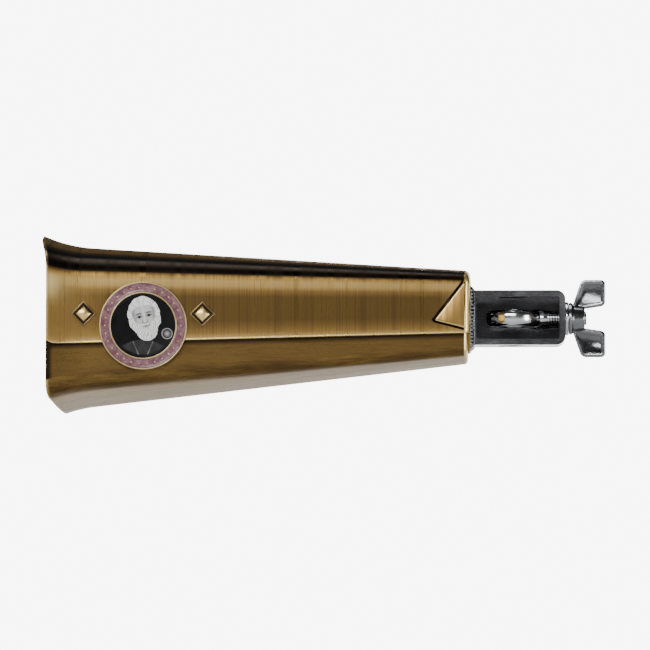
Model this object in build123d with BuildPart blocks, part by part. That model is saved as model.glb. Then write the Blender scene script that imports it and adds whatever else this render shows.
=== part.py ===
from build123d import *

import os

os.makedirs("parts", exist_ok=True)

# A brass cowbell for a percussion stand: two lapped sheet-metal shells, a round badge on the narrow side,
# and a chromed clamp that grips an upright rod. Millimetres. The origin is the centre of the rod clamp.
# +Z runs up the rod, the mouth opens towards -X, the wing nut is at +X and the badge faces -Y.

# Bell body
crown_x = -22.0  # closed end, where the clamp bracket is welded on
mouth_x = -232.0  # side walls' edge at the open end
flare_x = -212.0  # from here to the mouth the sheet turns outwards
form_x = -242.0  # the forms run past the mouth and are cut back to it
crown_half_width, mouth_half_width = 37.5, 61.0
crown_corner_height, mouth_corner_height = 20.5, 33.0  # half heights at the corners
crown_bulge, mouth_bulge = 3.5, 9.5  # rise of the wide faces at their middle
crown_radius, mouth_radius = 5.0, 11.0  # corner radii
width_flare, height_flare = 1.4, 3.0
mouth_drop = 5.5  # the mouth's centre is this far below the crown's
end_fold_radius = 3.0
sheet = 1.3
lap_gap = 0.1
fit_gap = 0.05  # between pieces that are seated on each other
upper_lip_bow = 5.5  # the upper lip stands out at its middle
lower_lip_bow = -4.5  # the lower lip is cut back at its middle
lap_mouth_z, lap_crown_z = -14.6, -8.4  # lower edge of the upper shell's sides
inner_mouth_z, inner_crown_z = 9.0, 7.0  # upper edge of the lower shell's sides, hidden inside
tongue_half_width, tongue_bottom_z = 24.0, -17.0  # flap of the upper shell over the crown's end

# Folded corner on each side of the crown, as distances back from the crown and heights
fold_top = (-2.0, 18.0)
fold_tip = (-18.0, -2.5)
fold_foot = (-2.0, -6.4)
fold_rise = 1.2
fold_depth = 1.2

# Rivets with square heads set on a corner
rivet_places = (-213.0, -154.5)
rivet_z = 0.3
rivet_side = 9.2
rivet_head = 1.5
rivet_seat = 0.25  # the heads bridge the start of the flare
rivet_boss = 3.6
rivet_shank_radius = 2.0
rivet_hole_radius = 2.1
rivet_tail_radius, rivet_tail = 3.4, 0.8

# Badge
badge_x, badge_z = -183.8, -5.6
badge_radius = 21.8
badge_base = 1.0
badge_rim = 0.8
badge_inner_rim_radius = 16.8
badge_rim_rise = 0.7
badge_fill = 0.45
bead_count = 30
bead_circle_radius = 18.95
bead_radius = 0.55
bead_rise = 0.35
head_place, head_tilt = (0.8, 3.4), 12.0
head_radii = (8.6, 11.4)
head_rise = 1.0
bust_radius, bust_top, bust_rise = 14.6, -7.0, 0.35
hand_drum_place, hand_drum_radius, hand_drum_rise = (11.9, -4.0), 2.8, 0.6

# Rod clamp
seat_radius = 6.5  # the eye's bore, for a rod of up to half an inch
bracket_end_x = 25.8
bracket_half_height = 13.7
bracket_front_y, bracket_back_y = -15.0, 18.0
bracket_wall = 3.0
bracket_web = 2.5
bracket_corner = 4.5
rod_hole_radius, rod_hole_x = 7.2, -1.0  # round side of the teardrop holes
weld_leg = 2.5
bolt_radius = 4.0
bolt_hole_radius = 4.4
eye_radius, eye_half_height = 14.0, 4.25
eye_rounding, bore_rounding = 3.0, 1.2
neck_x, neck_radius, neck_end_x = 11.0, 5.4, 17.0
bolt_end_x = 36.5
washer_thickness, washer_radius, washer_bore = 1.6, 8.4, 4.25
nut_gap = 0.1
nut_height, nut_base_radius, nut_top_radius = 8.0, 8.0, 6.3
nut_bore_radius = 4.05
ear_half_thickness = 1.7
ear_outline = [(1.2, 4.0), (4.0, 12.5), (6.5, 19.5), (18.5, 19.5), (18.5, 6.5), (7.0, 4.0)]
ear_corner = 2.2


def between(crown_value, mouth_value, x):
    """A size that changes evenly from the crown to the mouth."""
    share = (crown_x - x) / (crown_x - mouth_x)
    return crown_value + (mouth_value - crown_value) * share


def flared(amount, x):
    """What the flare adds near the mouth, growing with the square of the distance."""
    past = max(0.0, flare_x - x)
    return amount * (past / (flare_x - mouth_x)) ** 2


def half_width(x):
    return between(crown_half_width, mouth_half_width, x) + flared(width_flare, x)


def bell_section(x, inset):
    """Cross-section of the bell's form at x: straight sides, bulging top and bottom, round corners."""
    side = half_width(x) - inset
    corner = between(crown_corner_height, mouth_corner_height, x) + flared(height_flare, x) - inset
    top = corner + between(crown_bulge, mouth_bulge, x)
    radius = between(crown_radius, mouth_radius, x) - inset
    middle = between(0.0, -mouth_drop, x)
    with BuildSketch(Plane.YZ.offset(x)) as outline:
        with BuildLine():
            Line((side, middle - corner), (side, middle + corner))
            ThreePointArc((side, middle + corner), (0, middle + top), (-side, middle + corner))
            Line((-side, middle + corner), (-side, middle - corner))
            ThreePointArc((-side, middle - corner), (0, middle - top), (side, middle - corner))
        make_face()
        fillet(outline.vertices(), radius)
    return outline.sketch


def bell_form(inset, end_x, end_radius):
    """Solid form of the bell, inset all round, with its closed end at end_x."""
    flare_places = [flare_x, (flare_x * 2 + form_x) / 3, (flare_x + form_x * 2) / 3, form_x]
    with BuildPart() as form:
        loft([bell_section(end_x, inset), bell_section(flare_x, inset)])
        loft([bell_section(x, inset) for x in flare_places])
        fillet(form.faces().sort_by(Axis.X)[-1].edges(), end_radius)
    return form.part


def lip_cutter(bow):
    """Everything past the mouth's edge. The edge stands out by bow at the middle of the wide face."""
    reach, room = 90.0, 60.0
    rise = bow * (reach / mouth_half_width) ** 2
    end_x, middle_x = mouth_x + rise - bow, mouth_x - bow
    with BuildPart() as cutter:
        with BuildSketch():
            with BuildLine():
                ThreePointArc((end_x, -reach), (middle_x, 0), (end_x, reach))
                far_x = mouth_x - room
                Polyline((end_x, reach), (far_x, reach), (far_x, -reach), (end_x, -reach))
            make_face()
        extrude(amount=room, both=True)
    return cutter.part


def level_plane(crown_z, mouth_z):
    """Plane across the bell through one height at the crown and another at the mouth."""
    run = Vector(crown_x - mouth_x, 0, crown_z - mouth_z)
    return Plane(origin=(crown_x, 0, crown_z), x_dir=run, z_dir=(-run.Z, 0, run.X))


def wall_plane(side, x, z, lift=0.0):
    """Plane on a side wall, facing outwards: side is -1 at the front and 1 at the back."""
    run, taper = crown_x - mouth_x, mouth_half_width - crown_half_width
    wall_y = side * between(crown_half_width, mouth_half_width, x)
    plane = Plane(origin=(x, wall_y, z), x_dir=(-side * run, taper, 0), z_dir=(taper, side * run, 0))
    return plane.offset(lift)


front, back = -1, 1
sides = (front, back)
lap_inset = sheet + lap_gap
lap_depth = 2 * sheet + lap_gap
rivet_planes = [wall_plane(side, x, rivet_z) for side in sides for x in rivet_places]

with BuildPart() as upper_shell:
    add(bell_form(0, crown_x, end_fold_radius))
    for side in sides:
        with BuildSketch(wall_plane(side, crown_x, 0, -fold_depth)):
            with BuildLine():
                Polyline(*[(-side * x, z) for x, z in (fold_top, fold_tip, fold_foot)], close=True)
            make_face()
        extrude(amount=fold_depth + fold_rise)
    add(bell_form(sheet, crown_x - sheet, end_fold_radius - sheet), mode=Mode.SUBTRACT)
    add(lip_cutter(upper_lip_bow), mode=Mode.SUBTRACT)
    split(bisect_by=level_plane(lap_crown_z, lap_mouth_z), keep=Keep.TOP)
    with BuildSketch(Plane.YZ.offset(crown_x - sheet)):
        with BuildLine():
            Line((-tongue_half_width, lap_crown_z), (tongue_half_width, lap_crown_z))
            Line((tongue_half_width, lap_crown_z), (tongue_half_width * 0.8, tongue_bottom_z))
            Line((tongue_half_width * 0.8, tongue_bottom_z), (-tongue_half_width * 0.8, tongue_bottom_z))
            Line((-tongue_half_width * 0.8, tongue_bottom_z), (-tongue_half_width, lap_crown_z))
        make_face()
    extrude(amount=sheet)
    for plane in rivet_planes:
        with Locations(plane):
            Cylinder(rivet_hole_radius, 4 * sheet, mode=Mode.SUBTRACT)
upper_shell.part.label = "upper_shell"
export_step(upper_shell.part, "parts/upper_shell.step")

with BuildPart() as lower_shell:
    add(bell_form(lap_inset, crown_x - lap_inset, end_fold_radius - sheet))
    add(bell_form(lap_depth, crown_x - lap_depth, end_fold_radius - 2 * sheet), mode=Mode.SUBTRACT)
    add(lip_cutter(lower_lip_bow), mode=Mode.SUBTRACT)
    split(bisect_by=level_plane(inner_crown_z, inner_mouth_z), keep=Keep.BOTTOM)
    for plane in rivet_planes:
        with Locations(plane):
            Cylinder(rivet_hole_radius, 8 * sheet, mode=Mode.SUBTRACT)
lower_shell.part.label = "lower_shell"
export_step(lower_shell.part, "parts/lower_shell.step")

with BuildPart() as lap_rivets:
    for side in sides:
        for x in rivet_places:
            head_plane = wall_plane(side, x, rivet_z, rivet_seat)
            tail_plane = wall_plane(side, x, rivet_z, -lap_depth - fit_gap)
            with BuildSketch(head_plane):
                Rectangle(rivet_side, rivet_side, rotation=45)
            extrude(amount=rivet_head / 2, taper=30)
            with BuildSketch(head_plane):
                Rectangle(rivet_boss, rivet_boss, rotation=45)
            extrude(amount=rivet_head, taper=20)
            with BuildSketch(tail_plane):
                Circle(rivet_shank_radius)
            extrude(amount=lap_depth + fit_gap + rivet_seat)
            with BuildSketch(tail_plane):
                Circle(rivet_tail_radius)
            extrude(amount=-rivet_tail, taper=15)
lap_rivets.part.label = "lap_rivets"
export_step(lap_rivets.part, "parts/lap_rivets.step")

badge_face = wall_plane(front, badge_x, badge_z, fit_gap)
badge_floor = badge_face.offset(badge_base)
fill_face = badge_face.offset(badge_base + fit_gap)
inlay_face = fill_face.offset(badge_fill)

with BuildPart() as badge_body:
    with BuildSketch(badge_face):
        Circle(badge_radius)
    extrude(amount=badge_base)
    with BuildSketch(badge_floor):
        Circle(badge_radius)
        Circle(badge_radius - badge_rim, mode=Mode.SUBTRACT)
        Circle(badge_inner_rim_radius)
        Circle(badge_inner_rim_radius - badge_rim, mode=Mode.SUBTRACT)
    extrude(amount=badge_rim_rise)
badge_body.part.label = "badge_body"
export_step(badge_body.part, "parts/badge_body.step")

with BuildPart() as badge_ring:
    with BuildSketch(fill_face):
        Circle(badge_radius - badge_rim - fit_gap)
        Circle(badge_inner_rim_radius + fit_gap, mode=Mode.SUBTRACT)
    extrude(amount=badge_fill)
badge_ring.part.label = "badge_ring"
export_step(badge_ring.part, "parts/badge_ring.step")

with BuildPart() as badge_disc:
    with BuildSketch(fill_face):
        Circle(badge_inner_rim_radius - badge_rim - fit_gap)
    extrude(amount=badge_fill)
badge_disc.part.label = "badge_disc"
export_step(badge_disc.part, "parts/badge_disc.step")

with BuildPart() as badge_beads:
    with BuildSketch(inlay_face):
        with PolarLocations(bead_circle_radius, bead_count):
            Circle(bead_radius)
    extrude(amount=bead_rise, taper=20)
badge_beads.part.label = "badge_beads"
export_step(badge_beads.part, "parts/badge_beads.step")

with BuildPart() as badge_portrait:
    for lift, share in ((0, 1.0), (head_rise, 0.8)):
        with BuildSketch(inlay_face.offset(lift)):
            with Locations(head_place):
                Ellipse(head_radii[0] * share, head_radii[1] * share, rotation=head_tilt)
    loft()
    with BuildSketch(inlay_face):
        Circle(bust_radius)
        with Locations((bust_radius, bust_top + bust_radius)):
            Rectangle(4 * bust_radius, 2 * bust_radius, mode=Mode.SUBTRACT)
    extrude(amount=bust_rise)
badge_portrait.part.label = "badge_portrait"
export_step(badge_portrait.part, "parts/badge_portrait.step")

with BuildPart() as badge_hand_drum:
    with BuildSketch(inlay_face):
        with Locations(hand_drum_place):
            Circle(hand_drum_radius)
    extrude(amount=hand_drum_rise, taper=20)
badge_hand_drum.part.label = "badge_hand_drum"
export_step(badge_hand_drum.part, "parts/badge_hand_drum.step")

bracket_length = bracket_end_x - crown_x
bracket_middle_x = (bracket_end_x + crown_x) / 2
bracket_width = bracket_back_y - bracket_front_y
bracket_middle_y = (bracket_back_y + bracket_front_y) / 2
tray_height = 2 * (bracket_half_height - bracket_wall)
rod_apex_x = seat_radius * 2**0.5

with BuildPart() as mount_bracket:
    with BuildSketch(Plane.XZ.offset(-bracket_back_y)):
        with Locations((bracket_middle_x, 0)):
            outline = Rectangle(bracket_length, 2 * bracket_half_height)
        fillet(outline.vertices().group_by(Axis.X)[-1], bracket_corner)
    extrude(amount=bracket_width)
    with BuildSketch(Plane.XZ.offset(-bracket_front_y)):
        with Locations((bracket_middle_x, 0)):
            inside = Rectangle(bracket_length - 2 * bracket_wall, tray_height)
        fillet(inside.vertices(), bracket_corner - bracket_wall)
    extrude(amount=-(bracket_width - bracket_web), mode=Mode.SUBTRACT)
    with BuildSketch(Plane.XY.offset(-bracket_half_height)):
        with Locations((rod_hole_x, 0)):
            Circle(rod_hole_radius)
        with BuildLine():
            touch = (rod_apex_x - rod_hole_x) / 2
            Polyline(
                (rod_apex_x, 0),
                (rod_hole_x + touch, touch),
                (rod_hole_x, 0),
                (rod_hole_x + touch, -touch),
                close=True,
            )
        make_face()
    extrude(amount=2 * bracket_half_height, mode=Mode.SUBTRACT)
    with BuildSketch(Plane.YZ.offset(bracket_end_x)):
        Circle(bolt_hole_radius)
    extrude(amount=-2 * bracket_wall, mode=Mode.SUBTRACT)
mount_bracket.part.label = "mount_bracket"
export_step(mount_bracket.part, "parts/mount_bracket.step")

with BuildPart() as bracket_weld:
    with BuildSketch(Plane.YZ.offset(crown_x)):
        with Locations((bracket_middle_y, 0)):
            Rectangle(bracket_width + 2 * weld_leg, 2 * (bracket_half_height + weld_leg))
    extrude(amount=weld_leg, taper=45)
    with BuildSketch(Plane.YZ.offset(crown_x)):
        with Locations((bracket_middle_y, 0)):
            Rectangle(bracket_width, 2 * bracket_half_height)
    extrude(amount=weld_leg, mode=Mode.SUBTRACT)
bracket_weld.part.label = "bracket_weld"
export_step(bracket_weld.part, "parts/bracket_weld.step")

with BuildPart() as eye_bolt:
    with BuildSketch(Plane.XY.offset(-eye_half_height)):
        Circle(eye_radius)
    extrude(amount=2 * eye_half_height)
    fillet(eye_bolt.edges().filter_by(GeomType.CIRCLE), eye_rounding)
    with BuildSketch(Plane.XZ):
        with BuildLine():
            Polyline(
                (neck_x, 0),
                (neck_x, neck_radius * 0.75),
                (neck_end_x, bolt_radius),
                (bolt_end_x - 1, bolt_radius),
                (bolt_end_x, bolt_radius - 1),
                (bolt_end_x, 0),
                close=True,
            )
        make_face()
    revolve(axis=Axis.X)
    with BuildSketch(Plane.XY.offset(-eye_half_height)):
        Circle(seat_radius)
    extrude(amount=2 * eye_half_height, mode=Mode.SUBTRACT)
    bore_edges = eye_bolt.edges().filter_by(GeomType.CIRCLE)
    fillet(bore_edges.filter_by(lambda e: abs(e.radius - seat_radius) < 0.01), bore_rounding)
eye_bolt.part.label = "eye_bolt"
export_step(eye_bolt.part, "parts/eye_bolt.step")

with BuildPart() as flat_washer:
    with BuildSketch(Plane.YZ.offset(bracket_end_x)):
        Circle(washer_radius)
        Circle(washer_bore, mode=Mode.SUBTRACT)
    extrude(amount=washer_thickness)
flat_washer.part.label = "flat_washer"
export_step(flat_washer.part, "parts/flat_washer.step")

nut_x = bracket_end_x + washer_thickness + nut_gap

with BuildPart() as wing_nut:
    with BuildSketch(Plane.XZ):
        with BuildLine():
            Polyline(
                (nut_x, 0),
                (nut_x, nut_base_radius),
                (nut_x + nut_height, nut_top_radius),
                (nut_x + nut_height, 0),
                close=True,
            )
        make_face()
    revolve(axis=Axis.X)
    with BuildSketch(Plane.XZ) as ears:
        with BuildLine():
            Polyline(*[(nut_x + x, z) for x, z in ear_outline], close=True)
        make_face()
        fillet(ears.vertices().sort_by(Axis.Y)[2:], ear_corner)
        mirror(about=Plane.YZ.rotated((0, 0, 90)))
    extrude(amount=ear_half_thickness, both=True)
    with BuildSketch(Plane.YZ.offset(nut_x)):
        Circle(nut_bore_radius)
    extrude(amount=nut_height, mode=Mode.SUBTRACT)
wing_nut.part.label = "wing_nut"
export_step(wing_nut.part, "parts/wing_nut.step")
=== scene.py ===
"""Looks of a brass percussion cowbell and its chromed rod clamp.

The bell is two lapped sheets with a badge on one narrow side and square-headed rivets on both. A pressed
bracket on its crown holds an eye bolt, which a wing nut draws tight round an upright rod. The origin is the
clamp's middle: X runs to the wing nut, Z runs up the rod and the badge faces -Y. Pieces are built in
millimetres, and each is brought to metres as it is finished.
"""

import logging
import math
from dataclasses import dataclass, field
from enum import Enum
from typing import Callable

import bmesh
import bpy
from mathutils import Matrix, Vector, noise


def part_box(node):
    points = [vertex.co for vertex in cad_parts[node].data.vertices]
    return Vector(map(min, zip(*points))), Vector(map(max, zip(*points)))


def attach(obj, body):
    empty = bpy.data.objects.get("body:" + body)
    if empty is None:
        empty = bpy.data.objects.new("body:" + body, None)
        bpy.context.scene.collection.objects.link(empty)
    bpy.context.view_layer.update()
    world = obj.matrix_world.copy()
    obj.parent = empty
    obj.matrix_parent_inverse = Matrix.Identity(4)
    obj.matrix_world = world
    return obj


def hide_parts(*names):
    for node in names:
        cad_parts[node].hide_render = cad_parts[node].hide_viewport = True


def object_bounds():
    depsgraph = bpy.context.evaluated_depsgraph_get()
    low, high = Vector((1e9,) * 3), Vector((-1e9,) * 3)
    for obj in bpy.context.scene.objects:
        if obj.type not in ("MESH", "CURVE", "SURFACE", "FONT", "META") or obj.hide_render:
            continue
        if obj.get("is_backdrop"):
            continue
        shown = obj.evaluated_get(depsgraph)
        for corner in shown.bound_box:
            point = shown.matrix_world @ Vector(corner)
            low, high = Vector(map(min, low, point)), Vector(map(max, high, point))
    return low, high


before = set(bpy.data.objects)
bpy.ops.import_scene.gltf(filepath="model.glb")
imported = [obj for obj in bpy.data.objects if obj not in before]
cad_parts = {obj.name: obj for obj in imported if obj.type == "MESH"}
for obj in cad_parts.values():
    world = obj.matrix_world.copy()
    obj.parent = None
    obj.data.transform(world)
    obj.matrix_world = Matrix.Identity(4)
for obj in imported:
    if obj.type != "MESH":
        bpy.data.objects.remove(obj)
cad_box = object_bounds()

log = logging.getLogger("cowbell")

MM = 0.001
QUARTER, HALF, FULL = math.pi / 2, math.pi, 2 * math.pi
# Vertex masks: rubbed edges with painted highlights, painted floor reflection, painted shade, a painted
# shade band and printed tone.
MASKS = ("wear_and_highlight", "pale", "grime_and_shade", "shade_band", "tone")
CLEARANCE = 0.02  # between the enamel and the rims

Mesh = bmesh.types.BMesh
Node = bpy.types.Node
Socket = bpy.types.NodeSocket
Color = tuple[float, float, float]
Point = tuple[float, float]
Corner = tuple[float, float, float]
Station = tuple[float, float, float]


class Body(Enum):
    """The rigid bodies that the pieces ride on."""

    BELL = "bell"
    EYE_BOLT = "eye_bolt"
    WING_NUT = "wing_nut"


class Side(Enum):
    """The two narrow sides of the bell. The value is the sign of Y there."""

    FRONT = -1
    BACK = 1


class Brush(Enum):
    """Which way the brush lines of a sheet run, as a scale for each axis."""

    ROUND_THE_BELL = (950.0, 16.0, 16.0)
    ALONG_THE_BELL = (14.0, 800.0, 800.0)


def clamp(value: float) -> float:
    """Keep a value between 0 and 1."""
    return min(1.0, max(0.0, value))


def ramp(value: float, low: float, high: float) -> float:
    """Return a smooth step from 0 at low to 1 at high."""
    share = clamp((value - low) / (high - low))
    return share * share * (3 - 2 * share)


def mound(value: float, middle: float, width: float) -> float:
    """Return a smooth mound, 1 at its middle."""
    return math.exp(-(((value - middle) / width) ** 2))


# Materials


@dataclass
class Tree:
    """A node tree with short calls for adding and joining nodes."""

    tree: bpy.types.NodeTree

    def feed(self, target: Socket, value: object) -> None:
        """Link an output to an input, or set the input.

        Args:
            target: the input.
            value: an output, a number, a vector, or a colour without its alpha.
        """
        if isinstance(value, Socket):
            self.tree.links.new(value, target)
        else:
            target.default_value = (*value, 1.0) if target.type == "RGBA" else value

    def give(self, node: Node, **inputs: object) -> Node:
        """Feed a node's inputs by name.

        Args:
            node: the node.
            inputs: what each input gets, with _ for a space in its name.

        Returns:
            The node.
        """
        for name, value in inputs.items():
            self.feed(node.inputs[name.replace("_", " ")], value)
        return node

    def add(self, kind: str, **inputs: object) -> Node:
        """Add a node, its type given without ShaderNode, and feed its inputs."""
        return self.give(self.tree.nodes.new("ShaderNode" + kind), **inputs)

    def math(self, operation: str, first: object, second: object) -> Socket:
        """Add a Math node.

        Args:
            operation: what it does.
            first: its first number or socket.
            second: its second number or socket.

        Returns:
            Its value.
        """
        node = self.add("Math")
        node.operation = operation
        self.feed(node.inputs[0], first)
        self.feed(node.inputs[1], second)
        return node.outputs[0]

    def times(self, first: object, second: object) -> Socket:
        """Return a product."""
        return self.math("MULTIPLY", first, second)

    def plus(self, first: object, second: object) -> Socket:
        """Return a sum."""
        return self.math("ADD", first, second)

    def blend(self, share: object, first: object, second: object) -> Socket:
        """Mix two colours.

        Args:
            share: how much of the second there is.
            first: the first colour.
            second: the second colour.

        Returns:
            The mixed colour.
        """
        node = self.add("Mix")
        node.data_type = "RGBA"
        for index, value in ((0, share), (6, first), (7, second)):
            self.feed(node.inputs[index], value)
        return node.outputs[2]

    def remap(self, value: Socket, low: float, high: float, start: float = 0.0, end: float = 1.0) -> Socket:
        """Map low..high to start..end, clamped."""
        node = self.add("MapRange", Value=value, From_Min=low, From_Max=high, To_Min=start, To_Max=end)
        return node.outputs[0]

    def noise(self, vector: Socket, scale: float, detail: float, **more: float) -> Socket:
        """Return a noise texture's value."""
        return self.add("TexNoise", Vector=vector, Scale=scale, Detail=detail, **more).outputs[0]

    def place(self, scale: tuple[float, float, float]) -> Socket:
        """Return the piece's own coordinates, scaled."""
        coord = self.add("TexCoord").outputs["Object"]
        return self.add("Mapping", Vector=coord, Scale=scale).outputs[0]

    def attribute(self, name: str) -> Socket:
        """Read a mask that is stored on the mesh.

        Args:
            name: the mask.

        Returns:
            Its value.
        """
        node = self.add("Attribute")
        node.attribute_name = name
        return node.outputs["Fac"]

    def use(self, group: bpy.types.NodeTree, **inputs: object) -> bpy.types.NodeOutputs:
        """Place an effect with this material's own values.

        Args:
            group: the effect.
            inputs: its values.

        Returns:
            Its outputs.
        """
        node = self.add("Group")
        node.node_tree = group
        return self.give(node, **inputs).outputs


def effect(name: str, settings: dict[str, float], results: tuple[str, ...]) -> tuple[Tree, object, Node]:
    """Start an effect: a node group that takes a vector and some settings.

    Args:
        name: the group's name.
        settings: each setting and its usual value.
        results: the names of what it gives.

    Returns:
        The group's tree, what is given to it and the node that takes its results.
    """
    group = bpy.data.node_groups.new(name, "ShaderNodeTree")
    face = group.interface
    face.new_socket(name="Vector", in_out="INPUT", socket_type="NodeSocketVector")
    for title, usual in settings.items():
        face.new_socket(name=title, in_out="INPUT", socket_type="NodeSocketFloat").default_value = usual
    for title in results:
        face.new_socket(name=title, in_out="OUTPUT", socket_type="NodeSocketFloat")
    return Tree(group), group.nodes.new("NodeGroupInput").outputs, group.nodes.new("NodeGroupOutput")


class Effects:
    """The effects that several finishes share, each built once."""

    def __init__(self) -> None:
        """Build every group."""
        self.brushed = self.brush_lines()
        self.tarnish = self.clouds()
        self.handling = self.marks()

    @staticmethod
    def brush_lines() -> bpy.types.NodeTree:
        """Build the fine lines left by a wire brush, some of them deeper and broken.

        Returns:
            The group.
        """
        tree, given, result = effect("brush lines", {"Depth": 1.0}, ("Height", "Shade"))
        fine = tree.noise(given["Vector"], 1.0, 3.0, Roughness=0.65)
        coarse = tree.noise(given["Vector"], 0.22, 2.0, Roughness=0.6)
        lines = tree.times(fine, tree.remap(coarse, 0.35, 0.7, 0.35, 1.0))
        tree.give(result, Height=tree.times(lines, given["Depth"]), Shade=tree.remap(lines, 0.12, 0.5))
        return tree.tree

    @staticmethod
    def clouds() -> bpy.types.NodeTree:
        """Build a cloudy darkening with small spots, heavier where Amount is higher.

        Returns:
            The group.
        """
        tree, given, result = effect("tarnish", {"Amount": 0.5, "Spots": 0.3}, ("Mask",))
        cloud = tree.remap(tree.noise(given["Vector"], 22.0, 5.0, Roughness=0.6), 0.38, 0.72)
        speck = tree.remap(tree.noise(given["Vector"], 420.0, 2.0), 0.66, 0.74)
        whole = tree.plus(tree.times(cloud, given["Amount"]), tree.times(speck, given["Spots"]))
        tree.give(result, Mask=tree.remap(whole, 0.0, 1.0))
        return tree.tree

    @staticmethod
    def marks() -> bpy.types.NodeTree:
        """Build the smears and fine scratches of polished metal.

        Returns:
            The group.
        """
        settings = {"Base": 0.08, "Spread": 0.12}
        tree, given, result = effect("handling marks", settings, ("Roughness", "Height"))
        smear = tree.remap(tree.noise(given["Vector"], 60.0, 4.0, Distortion=0.8), 0.35, 0.75)
        tree.give(
            result,
            Roughness=tree.plus(tree.times(smear, given["Spread"]), given["Base"]),
            Height=tree.noise(given["Vector"], 900.0, 2.0),
        )
        return tree.tree


class Coat(Tree):
    """A material in the making: its tree, its shader and the piece's own coordinates."""

    def __init__(self, name: str) -> None:
        """Start the material.

        Args:
            name: the material's name.
        """
        self.material = bpy.data.materials.new(name)
        self.material.use_nodes = True
        super().__init__(self.material.node_tree)
        self.shader = self.tree.nodes["Principled BSDF"]
        self.plain = self.place((1.0, 1.0, 1.0))

    def dress(self, **inputs: object) -> None:
        """Feed the shader's inputs."""
        self.give(self.shader, **inputs)

    def bump(self, height: Socket, distance: float, strength: float) -> None:
        """Drive the shader's normal from a height."""
        self.dress(Normal=self.add("Bump", Height=height, Distance=distance, Strength=strength).outputs[0])

    def mark(self, effects: Effects, base: float, spread: float, relief: Point) -> None:
        """Give the surface its handling marks.

        Args:
            effects: the shared effect groups.
            base: the lowest roughness.
            spread: how much rougher the smears are.
            relief: the scratches' depth in metres, and their strength.
        """
        marks = self.use(effects.handling, Vector=self.plain, Base=base, Spread=spread)
        self.dress(Roughness=marks["Roughness"])
        self.bump(marks["Height"], *relief)


@dataclass(frozen=True)
class AgedBrass:
    """Brushed brass with cloudy tarnish, painted shade along its top edge, under its lap and in a band, and
    rubbed edges and painted highlights that shine.
    """

    name: str
    brush: Brush
    bright: Color = (0.54, 0.335, 0.090)
    dull: Color = (0.21, 0.122, 0.042)
    # Painted shade, for the shade band and the shade mask.
    dark: Color = (0.013, 0.009, 0.006)
    # Rubbed brass, also used for painted highlights.
    worn_and_highlight: Color = (0.95, 0.72, 0.30)
    # Painted reflection of the pale floor, for the underside.
    pale: Color = (0.66, 0.56, 0.41)
    roughness: Point = (0.44, 0.24)
    tarnish: Point = (0.5, 0.1)
    cloud_share: float = 0.6
    cloud_roughness: float = 0.08
    band_share: float = 0.7
    line_height: float = 0.035
    dent_scale: float = 26.0
    relief: Point = (0.0007, 0.5)

    def make(self, effects: Effects) -> bpy.types.Material:
        """Build the material.

        Args:
            effects: the shared effect groups.

        Returns:
            The material.
        """
        coat = Coat(self.name)
        lines = coat.use(effects.brushed, Vector=coat.place(self.brush.value), Depth=1.0)
        amount, spots = self.tarnish
        cloud = coat.use(effects.tarnish, Vector=coat.plain, Amount=amount, Spots=spots)["Mask"]
        aged = coat.blend(lines["Shade"], self.dull, self.bright)
        aged = coat.blend(coat.times(cloud, self.cloud_share), aged, self.dull)
        # Painted shade: the band darkens the upper sheet's mid side and the lower sheet's side.
        aged = coat.blend(coat.times(coat.attribute("shade_band"), self.band_share), aged, self.dark)
        # Painted shade, rubbed edges with painted highlights, and painted floor reflection, each from its
        # mask.
        for mask, tone in (("grime_and_shade", self.dark), ("wear_and_highlight", self.worn_and_highlight), ("pale", self.pale)):
            aged = coat.blend(coat.attribute(mask), aged, tone)
        rough = coat.remap(lines["Shade"], 0.0, 1.0, *self.roughness)
        rough = coat.plus(rough, coat.times(cloud, self.cloud_roughness))
        coat.dress(Base_Color=aged, Metallic=1.0, Roughness=rough)
        dents = coat.noise(coat.plain, self.dent_scale, 1.0)
        coat.bump(coat.plus(coat.times(lines["Height"], self.line_height), dents), *self.relief)
        return coat.material


@dataclass(frozen=True)
class FittingMetal:
    """Smooth metal with handling marks, dull clouds and a mask that darkens it: painted shade, and darker
    hollows.
    """

    name: str
    tone: Color
    dirt_and_shade: Color
    roughness: float
    spread: float
    tarnish: Point
    cloud_share: float
    relief: Point

    def make(self, effects: Effects) -> bpy.types.Material:
        """Build the material.

        Args:
            effects: the shared effect groups.

        Returns:
            The material.
        """
        coat = Coat(self.name)
        amount, spots = self.tarnish
        cloud = coat.use(effects.tarnish, Vector=coat.plain, Amount=amount, Spots=spots)["Mask"]
        soiled = coat.blend(coat.times(cloud, self.cloud_share), self.tone, self.dirt_and_shade)
        coat.dress(Base_Color=coat.blend(coat.attribute("grime_and_shade"), soiled, self.dirt_and_shade), Metallic=1.0)
        coat.mark(effects, self.roughness, self.spread, self.relief)
        return coat.material


@dataclass(frozen=True)
class StruckBrass(FittingMetal):
    """Small brass fittings: a bright top over dark hollows."""

    tone: Color = (0.85, 0.60, 0.24)
    dirt_and_shade: Color = (0.035, 0.024, 0.014)
    roughness: float = 0.28
    spread: float = 0.14
    tarnish: Point = (0.4, 0.3)
    cloud_share: float = 0.5
    relief: Point = (0.0001, 0.25)


@dataclass(frozen=True)
class Chrome(FittingMetal):
    """Chrome plate, rougher where it was cast."""

    tone: Color = (0.60, 0.61, 0.63)
    dirt_and_shade: Color = (0.06, 0.06, 0.065)
    roughness: float = 0.07
    spread: float = 0.13
    tarnish: Point = (0.25, 0.35)
    cloud_share: float = 0.55
    relief: Point = (0.0002, 0.1)


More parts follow.
